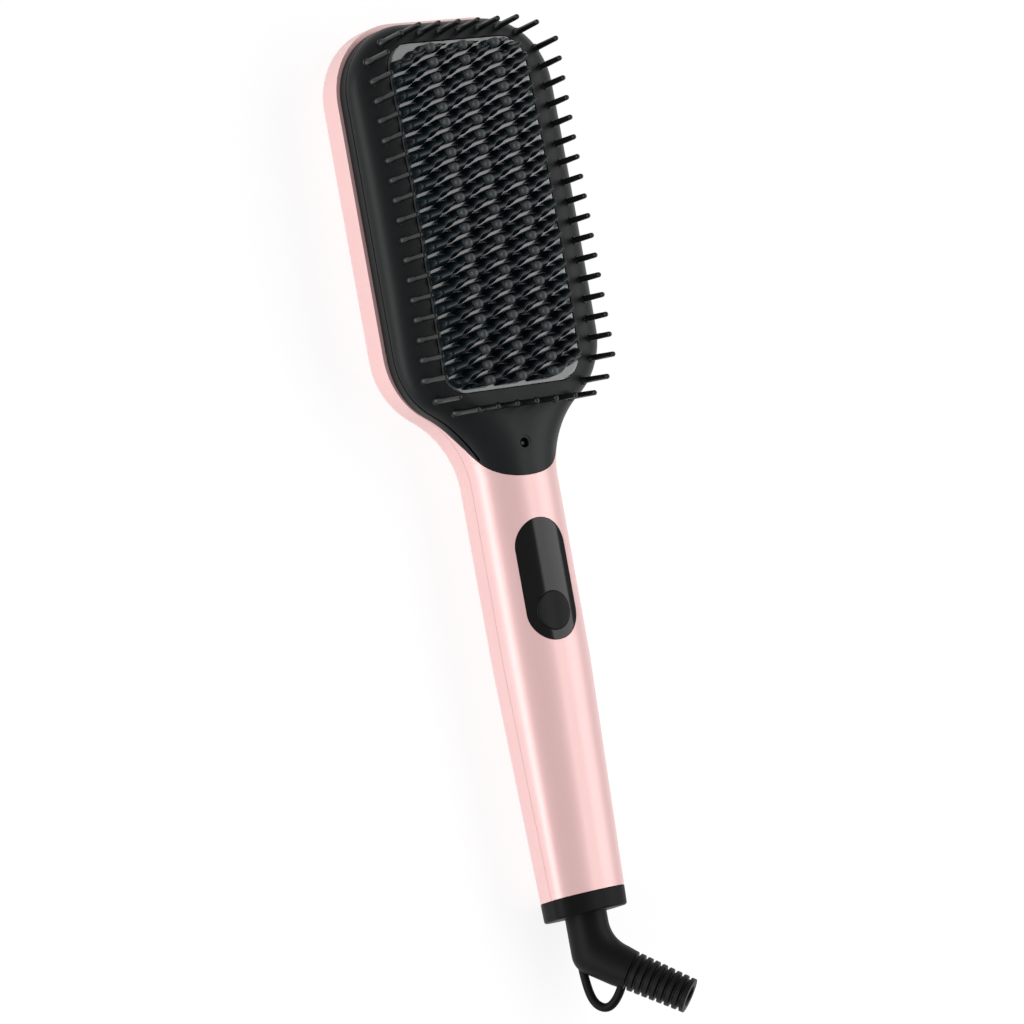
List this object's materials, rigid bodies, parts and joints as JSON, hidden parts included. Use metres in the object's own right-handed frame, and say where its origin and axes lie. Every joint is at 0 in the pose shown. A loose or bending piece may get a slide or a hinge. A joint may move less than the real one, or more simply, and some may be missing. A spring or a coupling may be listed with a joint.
{
  "type": "heated paddle brush",
  "caption": "Heated paddle brush with a comb plate, a border of bristles, a thumb button and a swivelling cord outlet with a hanging loop.",
  "frame": {"origin": "centre of the bounding box, on the surface that the flat back rests on", "axes": "+X to the right across the brush seen from the bristle side, +Y along it to the top of the head, +Z out of the bristle side"},
  "size_m": [0.078, 0.3202, 0.0364],
  "materials": {
    "pink_shell": "satin pearl pink moulded shell",
    "black_shell": "satin black moulded plastic",
    "comb_black": "glossy ceramic-coated black comb",
    "bristle_black": "semi-gloss heat-resistant nylon",
    "lens_black": "glossy smoked acrylic",
    "key_black": "satin black key",
    "soft_black": "matt black flexible rubber",
    "circuit_board": "green solder mask",
    "component_dark": "moulded component bodies",
    "component_yellow": "film capacitor case",
    "ceramic_white": "heater ceramic and mica",
    "frame_grey": "heat-resistant frame plastic",
    "steel": "zinc-plated steel",
    "aluminium": "bare aluminium",
    "brass": "brass contacts",
    "lead_white": "silicone lead insulation"
  },
  "bodies": {
    "housing": {"board_screws": "steel", "bristle_strip_bottom": "bristle_black", "bristle_strip_left": "bristle_black", "bristle_strip_right": "bristle_black", "bristle_strip_top": "bristle_black", "brush_contacts": "brass", "clamp_screws": "steel", "comb_frame": "frame_grey", "comb_plate": "comb_black", "comb_posts": "comb_black", "control_board": "circuit_board", "display_lens": "lens_black", "display_module": "component_dark", "end_cap": "black_shell", "face_cover": "black_shell", "film_capacitor": "component_yellow", "handle_front_shell": "pink_shell", "head_band": "black_shell", "heater_clamp": "aluminium", "heater_element": "ceramic_white", "heater_leads": "lead_white", "heating_fins": "comb_black", "housing_screws": "steel", "inductor": "component_dark", "ion_bezel": "black_shell", "ion_emitter": "steel", "ion_generator": "component_dark", "ion_lead": "lead_white", "mains_leads": "lead_white", "mica_sheet": "ceramic_white", "rear_shell": "pink_shell", "swivel_bush": "frame_grey", "tact_switch_body": "component_dark", "temperature_sensor": "component_dark", "thermal_fuse": "component_dark", "triac": "component_dark"},
    "power_button": {"power_button": "key_black"},
    "tact_plunger": {"tact_plunger": "component_dark"},
    "swivel": {"swivel_elbow": "black_shell", "strain_relief": "soft_black", "hang_loop": "black_shell", "slip_rings": "brass", "swivel_circlip": "steel"}
  },
  "joints": [
    {"name": "button_press", "type": "slide", "parent": "housing", "child": "power_button", "axis": [0, 0, -1], "range_m": [0, 0.0006], "stiffness_N_per_m": 2500},
    {"name": "switch_press", "type": "slide", "parent": "housing", "child": "tact_plunger", "axis": [0, 0, -1], "range_m": [0, 0.0006]},
    {"name": "cord_swivel", "type": "hinge", "parent": "housing", "child": "swivel", "pos_m": [0, -0.12113, 0.011], "axis": [0, 1, 0], "continuous": true}
  ],
  "couplings": [
    {"joint": "switch_press", "follows": "button_press", "ratio": 1}
  ]
}
